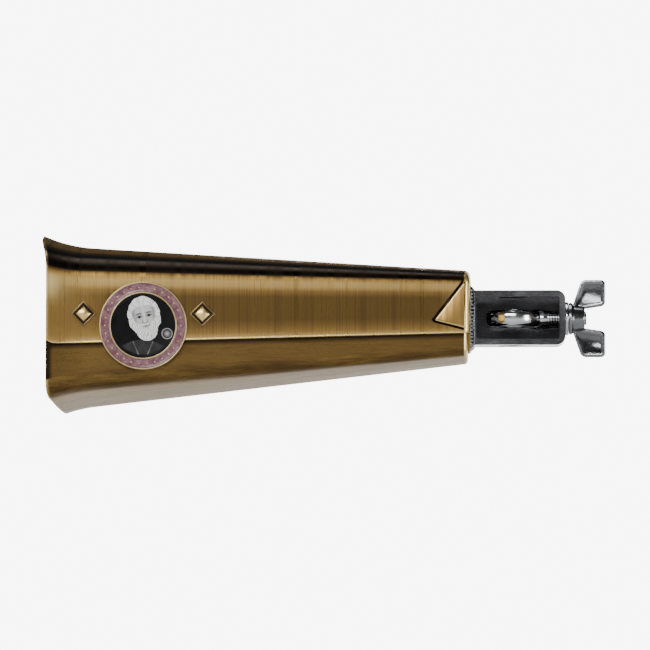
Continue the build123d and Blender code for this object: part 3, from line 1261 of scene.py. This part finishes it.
@dataclass
class CalmHead:
    """Relief of a head with a plain, evenly proportioned face, full white hair and a beard.

    The eyes stand halfway between the top of the skull and the chin.
    """

    half_width: float = 8.6
    half_height: float = 11.4
    rise: float = 0.98
    dome_rise: float = 0.60
    face_half_width: float = 5.9
    skull_top: float = 9.4
    chin: float = -7.0
    foot: float = -0.25
    steps: tuple[int, int] = (121, 151)
    eye_half_width: float = 1.2
    eyeball: Point = (1.26, 0.72)
    skin_tone: float = 0.7
    lip_tone: float = 0.46
    hair_tones: Point = (0.98, 0.42)

    def __post_init__(self) -> None:
        """Set the places of the features from the height of the head."""
        span = self.skull_top - self.chin
        self.eye_line = self.chin + span / 2
        self.brow_line = self.eye_line + span * 0.095
        self.hair_line = self.skull_top - span * 0.2
        self.nose_base = (self.brow_line + self.chin) / 2
        self.mouth_line = self.nose_base + (self.chin - self.nose_base) / 3
        self.eye_place = 2 * self.eye_half_width
        eye, nose, mouth = self.eye_line, self.nose_base, self.mouth_line
        self.feature_marks = (
            Touch(0.10, self.brow_line, 0.75, 2.5, 2.0),  # brow ridge
            Touch(-0.17, eye, 0.95, self.eye_place, 1.45),  # eye socket
            Touch(0.12, nose + 0.55, 0.5, 0.95, 0.42),  # nostril wing
            Touch(0.06, nose + 1.6, 1.6, 3.7, 1.4),  # cheek
        )
        self.lip_marks = (
            Touch(0.14, mouth + 0.3, 0.3, 0.0, 1.75),
            Touch(0.161, mouth - 0.38, 0.34, 0.0, 1.75),
            Touch(-0.13, mouth - 0.02, 0.13, 0.0, 1.8),
        )
        self.dark_marks = (
            Touch(-0.5, nose + 0.12, 0.2, 0.68, 0.3),  # nostril
            Touch(-0.24, nose + 0.8, 0.9, 1.35, 0.28),  # crease beside the nose
        )
        self.socket_shade = Touch(-0.26, eye + 0.15, 0.95, 2.3, 1.3)
        self.lips_shade = Touch(0.8, mouth, 0.62, 0.0, 1.55)
        self.mouth_shade = Touch(-0.5, mouth - 0.02, 0.13, 0.0, 1.7)

    def face_share(self, x: float, y: float) -> float:
        """Find where skin is bare.

        Args:
            x: place across the head.
            y: place up the head.

        Returns:
            1 on bare skin and 0 in hair or beard.
        """
        middle = (self.hair_line + self.nose_base) / 2
        tall = (self.hair_line - self.nose_base) / 2 + 0.4
        across = x / (self.face_half_width * (0.93 if y < middle else 1.0))
        away = (abs(across) ** 2.6 + abs((y - middle) / tall) ** 3.2) ** (1 / 2.8)
        return 1.0 - ramp(away, 0.9, 1.06)

    def strands(self, x: float, y: float) -> float:
        """Comb the hair back above the brow and down below it.

        Args:
            x: place across the head.
            y: place up the head.

        Returns:
            The strands' height, from 0 to 1.
        """
        if y < self.nose_base + 1.0:
            wave = 0.3 * math.sin(y * 1.1 + x * 0.35)
            drift = noise.noise(Vector((x * 0.8, y * 0.5, 3.0))) * 4.0
            return 0.5 + 0.5 * math.sin((x + wave) * 6.4 + drift)
        up = y - self.brow_line - 1.0
        flow, reach = math.atan2(up, x), math.hypot(x, up)
        bend = noise.noise(Vector((x * 0.4, y * 0.4, 7.0))) * 5.0
        fine = 0.5 + 0.5 * math.sin(flow * 37.0 + bend + reach * 0.5)
        lock = 0.5 + 0.5 * math.sin(flow * 11.0 + bend * 0.6 + reach * 0.6)
        return 0.6 * fine + 0.4 * lock

    def feature_height(self, side: float, y: float) -> float:
        """Find what the brows, eyes, nose and cheeks add to the head's dome.

        Args:
            side: distance from the head's middle line.
            y: place up the head.

        Returns:
            The added height.
        """
        rise = sum(mark.at(side, y) for mark in self.feature_marks)
        wide, tall = self.eyeball
        eye = ((side - self.eye_place) / wide) ** 2 + ((y - self.eye_line) / tall) ** 2
        rise += 0.15 * max(0.0, 1.0 - eye) ** 0.5
        down = ramp(y, self.brow_line + 0.4, self.nose_base + 0.5)
        ridge = ramp(y, self.brow_line + 0.6, self.brow_line - 1.2)
        ridge *= ramp(y, self.nose_base - 0.45, self.nose_base + 0.35)
        return rise + (0.16 + 0.2 * down) * ridge * mound(side, 0.0, 0.62 + 0.42 * down)

    def mouth_height(self, side: float, y: float) -> float:
        """Find the height of the lips, which lie in the beard, and of the moustache over them.

        Args:
            side: distance from the head's middle line.
            y: place up the head.

        Returns:
            The added height.
        """
        moustache = Touch(0.1, self.nose_base - 0.75 - 0.22 * side, 0.42, 1.35, 1.1)
        return sum(mark.at(side, y) for mark in (*self.lip_marks, moustache))

    def outline(self, turn: float) -> float:
        """Find how far the hair and beard reach in a direction.

        Args:
            turn: the direction.

        Returns:
            The reach, as a share of the oval.
        """
        degrees = math.degrees(turn)
        reach = 1.0 - 0.16 * mound(abs(degrees + 90.0), 46.0, 22.0)
        reach -= 0.07 * mound(abs(abs(degrees) - 90.0), 88.0, 15.0)
        tufts = 0.5 + 0.5 * math.sin(turn * 13.0 + 1.5 * math.sin(turn * 3.0))
        return min(1.0, reach - 0.022 * tufts)

    def height(self, x: float, y: float) -> float:
        """Find the relief's height.

        Args:
            x: place across the head.
            y: place up the head.

        Returns:
            The height.
        """
        inside = 1 - (x / self.half_width) ** 2 - (y / self.half_height) ** 2
        skin = self.face_share(x, y)
        hair = (0.055 * self.strands(x, y) + 0.03) * (1 - skin) * min(1.0, 3 * inside)
        hair *= 1.0 - 0.8 * mound(x, 0.0, 2.1) * mound(y, self.mouth_line, 1.15)
        detail = self.feature_height(abs(x), y) * (0.25 + 0.75 * skin) + self.mouth_height(abs(x), y)
        dome = self.dome_rise * max(0.0, inside) ** 0.42
        return min(self.rise, max(0.0, dome + hair + detail * clamp(4 * inside)))

    def eye_tone(self, side: float, y: float) -> float:
        """Find what the brow, the lids and the iris with its glint add to the tone.

        Args:
            side: distance from the head's middle line.
            y: place up the head.

        Returns:
            The change of tone.
        """
        out, up = side - self.eye_place, y - self.eye_line
        brow_y = self.brow_line - 0.10 * (side - 2.4) ** 2 + 0.1
        value = -0.50 * mound(y, brow_y, 0.30) * ramp(side, 0.9, 1.3) * ramp(side, 4.2, 3.6)
        lids = 0.62 * mound(up, 0.52 * max(0.0, 1 - (out / 1.35) ** 2), 0.14)
        lids += 0.28 * mound(up, -0.44 * max(0.0, 1 - (out / 1.3) ** 2), 0.1)
        return value - lids * ramp(abs(out), 1.5, 1.25) - 0.66 * ramp(math.hypot(out, up), 0.56, 0.44)

    def tone(self, x: float, y: float) -> float:
        """Find the printed tone.

        Args:
            x: place across the head.
            y: place up the head.

        Returns:
            The tone, from 0 for black to 1 for white.
        """
        side = abs(x)
        skin = self.face_share(x, y)
        white, depth = self.hair_tones
        hair = white - depth * (1 - self.strands(x, y)) ** 2
        value = hair * (1 - skin) + self.skin_tone * skin - 0.32 * skin * ramp(side, 3.2, 6.0)
        value += self.eye_tone(side, y) + self.socket_shade.at(side, y) * skin
        eye_x = math.copysign(self.eye_place, x)
        value += 0.75 * ramp(math.hypot(x - eye_x - 0.15, y - self.eye_line - 0.17), 0.18, 0.08)
        value += sum(mark.at(side, y) for mark in self.dark_marks)
        value += 0.14 * mound(side, 0.0, 0.4) * ramp(y, self.nose_base, self.nose_base + 0.6) * skin
        lips = self.lips_shade.at(side, y)
        value = value * (1 - lips) + self.lip_tone * lips
        return min(1.0, max(0.02, value + self.mouth_shade.at(side, y)))

    def build(self, tilt: float) -> Mesh:
        """Build the head as a closed relief standing on Z = 0.

        Args:
            tilt: how far it leans anticlockwise, in radians.

        Returns:
            The relief, about its own middle.
        """
        columns, rows = self.steps

        def place(column: int, row: int) -> Vector:
            """Map the square grid onto the head's oval.

            Args:
                column: the grid's column.
                row: the grid's row.

            Returns:
                The point.
            """
            u, v = 2 * column / (columns - 1) - 1, 2 * row / (rows - 1) - 1
            x = self.half_width * u * math.sqrt(1 - v * v / 2)
            y = self.half_height * v * math.sqrt(1 - u * u / 2)
            far = math.hypot(x / self.half_width, y / self.half_height)
            reach = 1.0 - (1.0 - self.outline(math.atan2(y, x))) * far**3
            return Vector((x * reach, y * reach, self.height(x * reach, y * reach)))

        bm, _ = shape_grid(columns, rows, place)
        paint(bm, "tone", lambda spot: self.tone(spot.x, spot.y))
        close_below(bm, self.foot)
        return moved(bm, Matrix.Rotation(tilt, 4, "Z"))


@dataclass
class Bust:
    """Relief of the shoulders in a dark coat."""

    radius: float = 14.6
    half_width: float = 10.75
    top: float = -7.0
    slope: float = 2.8
    rise: float = 0.34
    foot: float = -0.25
    steps: tuple[int, int] = (121, 41)

    def shoulder(self, x: float) -> float:
        """Return the height of the shoulder line."""
        return self.top - self.slope * (abs(x) / 10.0) ** 2

    def folds(self, x: float, y: float) -> float:
        """Return the coat's folds and lapels, from 0 to 1."""
        side = abs(x)
        lapel = mound(side - 0.42 * (y + 14.0), 2.4, 0.28)
        return min(1.0, 0.3 * (0.5 + 0.5 * math.sin(side * 0.9 + y * 0.5)) + 0.8 * lapel)

    def build(self) -> Mesh:
        """Build the shoulders as a closed relief standing on Z = 0.

        Returns:
            The relief.
        """
        columns, rows = self.steps

        def place(column: int, row: int) -> Vector:
            """Spread the grid between the shoulder line and the badge's lower arc.

            Args:
                column: the grid's column.
                row: the grid's row.

            Returns:
                The point.
            """
            x = self.half_width * (2 * column / (columns - 1) - 1)
            low = -math.sqrt(self.radius**2 - x * x)
            y = low + (max(self.shoulder(x), low + 0.04) - low) * row / (rows - 1)
            edge = min(1.0, min(row, rows - 1 - row, column, columns - 1 - column) / 3.0)
            return Vector((x, y, self.rise * edge**0.5 * (0.72 + 0.28 * self.folds(x, y))))

        bm, _ = shape_grid(columns, rows, place)
        paint(bm, "tone", lambda spot: 0.1 + 0.32 * self.folds(spot.x, spot.y) ** 2)
        close_below(bm, self.foot)
        return bm


@dataclass
class Badge:
    """The round badge on the bell's front side."""

    finishes: Finishes
    form: BellForm
    place: Point = (-183.8, -5.6)
    radius: float = 21.8
    base: float = 1.05
    rim_top: float = 1.75
    fill_top: float = 1.55
    inner_rim: float = 16.8
    rim: float = 0.8
    steps: int = 144
    climb: float = 0.35
    bead_circle: float = 18.95
    bead_radius: float = 0.55
    bead_rise: float = 0.38
    beads: int = 30
    head_place: Point = (0.8, 3.4)
    head_tilt: float = math.radians(12)
    hand_drum_place: Point = (11.9, -4.0)

    def put(self, bm: Mesh, name: str, material: bpy.types.Material, slot: str, node: str) -> None:
        """Move a part of the badge to the wall and finish it."""
        moved(bm, self.form.wall(Side.FRONT, *self.place))
        Piece(name, Body.BELL, material, slot, (node,)).make(bm)

    def back_plate(self) -> None:
        """Make the plate with its two rims."""
        top, low, outer, inner = self.rim_top, self.base, self.radius, self.inner_rim
        profile = [
            (0.0, 0.05, 0.0), (outer, 0.05, 0.2), (outer, top, 0.35), (outer - self.rim, top, 0.3),
            (outer - self.rim, low, 0.0), (inner, low, 0.0), (inner, top, 0.3), (inner - self.rim, top, 0.3),
            (inner - self.rim, low, 0.0), (0.0, low, 0.0),
        ]
        bm = spun(rounded_profile(profile), self.steps)
        # Darker below 1.2 mm: the plate's foot and its floors.
        paint(bm, "grime_and_shade", lambda spot: 0.9 if spot.z < 1.2 else 0.0)
        self.put(bm, "badge_plate", self.finishes.badge, "badge_metal", "badge_body")

    def enamel(self) -> None:
        """Fill the ring and the middle with enamel that climbs a little at its edges."""
        base, top, climb = self.base, self.fill_top, self.climb
        out, into = self.radius - self.rim - CLEARANCE, self.inner_rim + CLEARANCE
        ring = spun(
            [
                (into, base), (out, base), (out, top + 0.08), (out - climb, top - 0.02),
                ((out + into) / 2, top - 0.06), (into + climb, top - 0.02), (into, top + 0.08),
            ],
            self.steps,
            closed=True,
        )

        def level(spot: Vector) -> float:
            """Return the dirt that gathers at the rims."""
            away = math.hypot(spot.x, spot.y)
            return 0.8 if min(abs(away - out), abs(away - into)) < 0.1 else 0.0

        paint(ring, "grime_and_shade", level)
        self.put(ring, "maroon_ring", self.finishes.ring, "ring_enamel", "badge_ring")
        edge = self.inner_rim - self.rim - CLEARANCE
        disc = [(0.0, base), (edge, base), (edge, top + 0.06), (edge - climb, top), (0.0, top)]
        self.put(spun(disc, self.steps), "black_disc", self.finishes.disc, "disc_enamel", "badge_disc")

    def bead_row(self) -> None:
        """Set a ring of small domed beads in the maroon enamel."""
        whole = fresh_mesh()
        turns = [QUARTER * step / 6 for step in range(6)]
        dome = [(self.bead_radius * math.cos(turn), self.bead_rise * math.sin(turn)) for turn in turns]
        for index in range(self.beads):
            turn, reach = FULL * index / self.beads, self.bead_circle
            spot = (reach * math.cos(turn), reach * math.sin(turn), self.fill_top - 0.05)
            bead = spun([(0.0, -0.1), *dome, (0.0, self.bead_rise)], 16)
            take_in(whole, bead, Matrix.Translation(spot))
        self.put(whole, "ring_beads", self.finishes.badge, "badge_metal", "badge_beads")

    def portrait(self) -> None:
        """Make the head and the shoulders."""
        whole = fresh_mesh()
        head = CalmHead().build(self.head_tilt)
        take_in(whole, head, Matrix.Translation((*self.head_place, self.fill_top)))
        take_in(whole, Bust().build(), Matrix.Translation((0.0, 0.0, self.fill_top)))
        self.put(whole, "portrait", self.finishes.relief, "portrait_silver", "badge_portrait")

    def hand_drum(self) -> None:
        """Make the small round drum held at the shoulder: a pale skin, a dark line and a grey hoop."""
        profile = [
            (0.0, -0.2, 0.0), (2.8, -0.2, 0.0), (2.8, 0.6, 0.2), (2.35, 0.6, 0.12), (2.2, 0.42, 0.0),
            (0.0, 0.46, 0.0),
        ]

        def level(spot: Vector) -> float:
            """Return the printed tone."""
            away = math.hypot(spot.x, spot.y)
            return 0.62 if away < 2.0 else 0.1 if away < 2.3 else 0.5

        bm = spun(rounded_profile(profile), 64)
        paint(bm, "tone", level)
        moved(bm, Matrix.Translation((*self.hand_drum_place, self.fill_top)))
        self.put(bm, "hand_drum", self.finishes.relief, "portrait_silver", "badge_hand_drum")

    def build(self) -> None:
        """Make every piece of the badge."""
        self.back_plate()
        self.enamel()
        self.bead_row()
        self.portrait()
        self.hand_drum()


# The rod clamp


@dataclass
class RodClamp:
    """The bracket on the crown with its eye bolt, washer and wing nut."""

    finishes: Finishes
    bracket_end_x: float = 25.8
    bracket_rounding: float = 0.7
    web_y: Point = (12.0, 17.0)
    weld_leg: float = 2.5
    weld_step: float = 0.3
    weld_ripple: float = 1.8
    weld_swell: float = 0.07
    weld_unevenness: float = 300.0
    eye_radius: float = 14.0
    eye_half_height: float = 4.25
    seat_radius: float = 6.5
    bolt_radius: float = 4.0
    thread_start_x: float = 17.0
    bolt_end_x: float = 36.5
    pitch: float = 1.25
    thread_depth: float = 0.62
    thread_steps: tuple[int, int] = (49, 10)
    bolt_tip: float = 0.75
    washer_bore: float = 4.25
    washer_radius: float = 8.4
    washer_thickness: float = 1.6
    nut_x: float = 27.5
    nut_height: float = 8.0
    ear_half_thickness: float = 1.7
    ear_outline: tuple[Point, ...] = (
        (1.4, 4.7), (4.0, 12.5), (6.5, 19.5), (18.5, 19.5), (18.5, 6.5), (7.0, 4.7),
    )
    across: Matrix = field(default_factory=lambda: Matrix.Rotation(QUARTER, 4, "Y"))

    def bracket(self) -> None:
        """Round the pressed bracket's edges."""
        bm = merged_copy("mount_bracket")
        near, far = self.web_y
        # Painted shade: the web facing the camera is darkened as a reflection of the dark room.
        paint(bm, "grime_and_shade", lambda spot: 0.92 if near < spot.y < far else 0.0)
        piece = Piece("bracket", Body.BELL, self.finishes.bracket, "bracket_chrome", ("mount_bracket",))
        piece.make(bm, self.bracket_rounding)

    def weld_path(self) -> list[tuple[Vector, Vector, float]]:
        """Walk round the bracket's foot and back to the start.

        Returns:
            Places along the way, each with the way out from the bracket and the distance gone, in metres.
        """
        low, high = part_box("mount_bracket")
        corners = [(high.y, low.z), (high.y, high.z), (low.y, high.z), (low.y, low.z)]
        path, gone = [], 0.0
        for index, corner in enumerate(corners):
            start, end = Vector(corners[index - 1]), Vector(corner)
            run = end - start
            out = Vector((run.y, -run.x)).normalized()
            count = round(run.length / (self.weld_step * MM))
            for step in range(count + 1):
                path.append((start + run * step / count, out, gone + run.length * step / count))
            gone += run.length
            ahead = Vector(corners[(index + 1) % 4]) - end
            turned = Vector((ahead.y, -ahead.x)).normalized()
            path += [(end, out.lerp(turned, step / 8).normalized(), gone) for step in range(1, 8)]
        return [*path, path[0]]

    def weld(self) -> None:
        """Lay a rippled bead of weld round the bracket's foot."""
        foot_x = frame_box("mount_bracket")[0].x
        path, leg = self.weld_path(), self.weld_leg
        section = []
        for up in (step / 6 for step in range(7)):
            swell = self.weld_swell * math.sin(HALF * up)
            section.append((1 - up + swell, up + swell))
        section += [(-0.12, 0.9), (-0.12, 0.0), section[0]]

        def place(column: int, row: int) -> Vector:
            """Carry the bead's section round the path, with a ripple at every pass.

            Args:
                column: the grid's column.
                row: the grid's row.

            Returns:
                The point.
            """
            spot, way, gone = path[column]
            out, up = section[row]
            ripple = math.sqrt((gone / (self.weld_ripple * MM)) % 1.0)
            uneven = noise.noise(Vector((gone * self.weld_unevenness, 0.0, 5.0)))
            size = leg * (0.82 + 0.13 * ripple + 0.04 * uneven)
            foot = spot / MM + way * (out * size if out > 0 else out * leg)
            return Vector((foot_x + up * size, foot.x, foot.y))

        bm, _ = shape_grid(len(path), len(section), place)
        bmesh.ops.remove_doubles(bm, verts=bm.verts, dist=1e-3)
        # Darker along the weld's foot on the crown.
        paint(turn_out(bm), "grime_and_shade", lambda spot: 0.5 if spot.x < foot_x + 0.3 else 0.0)
        piece = Piece("weld_bead", Body.BELL, self.finishes.bracket, "bracket_chrome", ("bracket_weld",))
        piece.make(bm)

    def eye(self) -> Mesh:
        """Return the ring that holds the rod."""
        half, bore, outer = self.eye_half_height, self.seat_radius, self.eye_radius
        profile = [(outer, -half, 3.2), (outer, half, 3.2), (bore, half, 1.3), (bore, -half, 1.3)]
        return spun(rounded_profile(profile), 96, closed=True)

    def shank(self) -> Mesh:
        """Turn the bolt's neck and cut a helical thread on its shank.

        Returns:
            The neck and the shank, in place.
        """
        start, end = self.thread_start_x, self.bolt_end_x
        columns, per_turn = self.thread_steps
        rows = round((end - start) / self.pitch * per_turn) + 1

        def place(column: int, row: int) -> Vector:
            """Wrap the grid round the axis, with the thread's crest and root.

            Args:
                column: the grid's column.
                row: the grid's row.

            Returns:
                The point.
            """
            turn = FULL * column / (columns - 1)
            x = start + (end - start) * row / (rows - 1)
            phase = (x / self.pitch - column / (columns - 1)) % 1.0
            tooth = clamp(1.35 - 3.4 * abs(phase - 0.5))
            depth = self.thread_depth * (1 - tooth) * min(1.0, row / (2 * per_turn))
            depth += self.bolt_tip * (1 - min(1.0, (rows - 1 - row) / (per_turn * 0.8)))
            radius = self.bolt_radius - depth
            return Vector((x, radius * math.cos(turn), radius * math.sin(turn)))

        def level(spot: Vector) -> float:
            """Return how much darker the thread's root is."""
            depth = self.bolt_radius - math.hypot(spot.y, spot.z)
            return min(0.75, max(0.0, depth - 0.15) * 1.6) if spot.x < end - 1.0 else 0.0

        bm, _ = shape_grid(columns, rows, place)
        bmesh.ops.remove_doubles(bm, verts=bm.verts, dist=1e-3)
        paint(bm, "grime_and_shade", level)
        fill_holes(bm)
        neck = [(0.0, 10.5, 0.0), (5.2, 10.5, 0.0), (4.0, 17.05, 1.5), (3.9, 17.4, 0.0), (0.0, 17.4, 0.0)]
        take_in(bm, spun(rounded_profile(neck), 48), self.across)
        return turn_out(bm)

    def eye_bolt(self) -> None:
        """Make the eye bolt."""
        whole = fresh_mesh()
        take_in(whole, self.eye())
        take_in(whole, self.shank())
        piece = Piece("eye_bolt_chrome", Body.EYE_BOLT, self.finishes.bolt, "bolt_chrome", ("eye_bolt",))
        piece.make(whole)

    def washer(self) -> None:
        """Make the flat washer with its rolled edge."""
        near, bore, outer = self.bracket_end_x, self.washer_bore, self.washer_radius
        far = near + self.washer_thickness
        profile = [(bore, near, 0.2), (outer, near, 0.35), (outer, far, 0.6), (bore, far, 0.3)]
        bm = moved(spun(rounded_profile(profile), 72, closed=True), self.across)
        Piece("washer", Body.BELL, self.finishes.bolt, "bolt_chrome", ("flat_washer",)).make(bm)

    def ear(self, up: int) -> Mesh:
        """Cast one ear of the wing nut, dished on both faces and rounded at every edge.

        Args:
            up: 1 for the upper ear, -1 for the lower one.

        Returns:
            The ear, in place.
        """
        half = self.ear_half_thickness
        bm = outline_face([(self.nut_x + x, up * z) for x, z in self.ear_outline], -half)
        tips = [vert for vert in bm.verts if abs(vert.co.y) > 6.0 and vert.co.x > self.nut_x + 5.0]
        round_off(bm, tips, 2.2, "VERTICES", 5)
        raise_face(bm, 2 * half)
        caps = [face for face in bm.faces if abs(face.normal.z) > 0.9 or len(face.verts) > 4]
        round_off(turn_out(bm), [edge for face in caps for edge in face.edges], 0.8, "EDGES")
        bm.normal_update()
        flats = sorted(bm.faces, key=lambda face: -face.calc_area())[:2]
        for thickness, depth in ((0.9, 0.0), (0.7, -0.4)):
            bmesh.ops.inset_individual(bm, faces=flats, thickness=thickness, depth=depth)
        # Painted shade on the dished faces of the ear.
        grime_and_shade = bm.verts.layers.float["grime_and_shade"]
        for face in flats:
            for vert in face.verts:
                vert[grime_and_shade] = 0.55
        return moved(bm, Matrix.Rotation(QUARTER, 4, "X"))

    def wing_nut(self) -> None:
        """Make the wing nut: a turned hub with a bore, and two ears swept away from the bracket."""
        x, top = self.nut_x, self.nut_x + self.nut_height
        hub = rounded_profile(
            [
                (4.05, x, 0.3), (8.0, x, 0.5), (8.0, x + 1.6, 0.4), (7.0, x + 2.4, 0.5), (6.3, top, 0.7),
                (4.05, top, 0.5),
            ]
        )
        whole = fresh_mesh()
        take_in(whole, spun(hub, 72, closed=True), self.across)
        for up in (1, -1):
            take_in(whole, self.ear(up))
        Piece("wing_nut_cast", Body.WING_NUT, self.finishes.nut, "nut_chrome", ("wing_nut",)).make(whole)

    def build(self) -> None:
        """Make every piece of the clamp."""
        self.bracket()
        self.weld()
        self.eye_bolt()
        self.washer()
        self.wing_nut()


# The studio


@dataclass(frozen=True)
class Lamp:
    """A soft rectangular light: its place and size in metres, and its power in watts."""

    name: str
    place: tuple[float, float, float]
    size: Point
    power: float


@dataclass
class Studio:
    """Floor, soft lights and the camera. Lengths are in metres."""

    distance: float = 2.66
    camera_drop: float = 0.119
    aim: tuple[float, float, float] = (-0.0955, 0.0, -0.003)
    lens: float = 292.0
    sensor: float = 36.0
    reach: float = 100.0
    floor_z: float = -0.32
    floor_radius: float = 6.0
    floor_fade: Point = (0.9, 3.0)
    floor_tone: Color = (0.88, 0.88, 0.88)
    surround: Color = (8.0, 8.0, 8.0)
    sky: tuple[Point, ...] = ((0.47, 1.15), (0.495, 0.8), (0.515, 0.16), (0.56, 0.06), (0.8, 0.03))
    sky_ends: Point = (0.8, 0.03)
    lamps: tuple[Lamp, ...] = (
        Lamp("key light", (-0.7, -2.3, 0.95), (1.8, 0.6), 52.0),
        Lamp("fill light", (2.2, -1.6, 0.05), (0.7, 0.9), 34.0),
        Lamp("back light", (0.5, 2.2, 0.2), (1.6, 0.6), 10.0),
        Lamp("top light", (-0.2, 0.1, 2.3), (1.3, 1.3), 30.0),
    )

    def stand(self, name: str, data: bpy.types.ID, place: tuple[float, float, float]) -> bpy.types.Object:
        """Put a light or the camera in its place, aimed at the bell.

        Args:
            name: its name.
            data: its data.
            place: where it stands.

        Returns:
            The object.
        """
        stood = bpy.data.objects.new(name, data)
        bpy.context.scene.collection.objects.link(stood)
        stood.location = place
        stood.rotation_euler = (Vector(self.aim) - Vector(place)).to_track_quat("-Z", "Y").to_euler()
        return stood

    def floor(self) -> None:
        """Make the pale floor, which fades out far away and isn't seen from below."""
        bm = bmesh.new()
        bmesh.ops.create_circle(bm, cap_ends=True, segments=96, radius=self.floor_radius)
        bmesh.ops.translate(bm, verts=bm.verts, vec=(0, 0, self.floor_z))
        mesh = bpy.data.meshes.new("floor")
        bm.to_mesh(mesh)
        bm.free()
        floor = bpy.data.objects.new("floor", mesh)
        bpy.context.scene.collection.objects.link(floor)
        coat = Coat("pale floor")
        away = coat.add("VectorMath")
        away.operation = "LENGTH"
        coat.feed(away.inputs[0], coat.plain)
        near = coat.remap(away.outputs["Value"], *self.floor_fade, 1.0, 0.0)
        above = coat.math("SUBTRACT", 1.0, coat.add("NewGeometry").outputs["Backfacing"])
        coat.dress(Base_Color=self.floor_tone, Roughness=0.9, Alpha=coat.times(near, above))
        mesh.materials.append(coat.material)
        floor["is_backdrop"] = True

    def world(self) -> None:
        """Make a pale surround, which the metal sees as darker overhead."""
        world = bpy.data.worlds.new("surround")
        bpy.context.scene.world = world
        world.use_nodes = True
        tree = Tree(world.node_tree)
        split = tree.add("SeparateXYZ", Vector=tree.add("TexCoord").outputs["Generated"])
        ramp_node = tree.add("ValToRGB", Fac=tree.remap(split.outputs["Z"], -1.0, 1.0))
        stops = ramp_node.color_ramp.elements
        for index, tone in enumerate(self.sky_ends):
            stops[index].position, stops[index].color = index, (tone, tone, tone, 1.0)
        for place, tone in self.sky:
            stops.new(place).color = (tone, tone, tone, 1.0)
        seen = tree.add("LightPath").outputs["Is Camera Ray"]
        background = tree.blend(seen, ramp_node.outputs["Color"], self.surround)
        tree.give(world.node_tree.nodes["Background"], Color=background)

    def lights(self) -> None:
        """Hang the lights, unseen by the camera."""
        for lamp in self.lamps:
            data = bpy.data.lights.new(lamp.name, "AREA")
            data.shape = "RECTANGLE"
            data.size, data.size_y = lamp.size
            data.energy = lamp.power
            self.stand(lamp.name, data, lamp.place).visible_camera = False

    def camera(self) -> None:
        """Stand the camera a little under the bell and look at it square from the side."""
        data = bpy.data.cameras.new("camera")
        data.lens, data.sensor_width, data.clip_end = self.lens, self.sensor, self.reach
        place = (0.0, -self.distance, -self.camera_drop)
        bpy.context.scene.camera = self.stand("camera", data, place)

    def build(self) -> None:
        """Make the whole studio."""
        self.floor()
        self.world()
        self.lights()
        self.camera()


def main() -> None:
    """Build the object and its studio."""
    logging.basicConfig(level=logging.INFO)
    finishes = Finishes()
    bell = Bell(finishes)
    for part in (bell, Badge(finishes, bell.form), RodClamp(finishes), Studio()):
        log.info("building %s", type(part).__name__)
        part.build()


if __name__ == "__main__":
    main()
    [[list(corner) for corner in box] for box in (cad_box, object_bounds())]
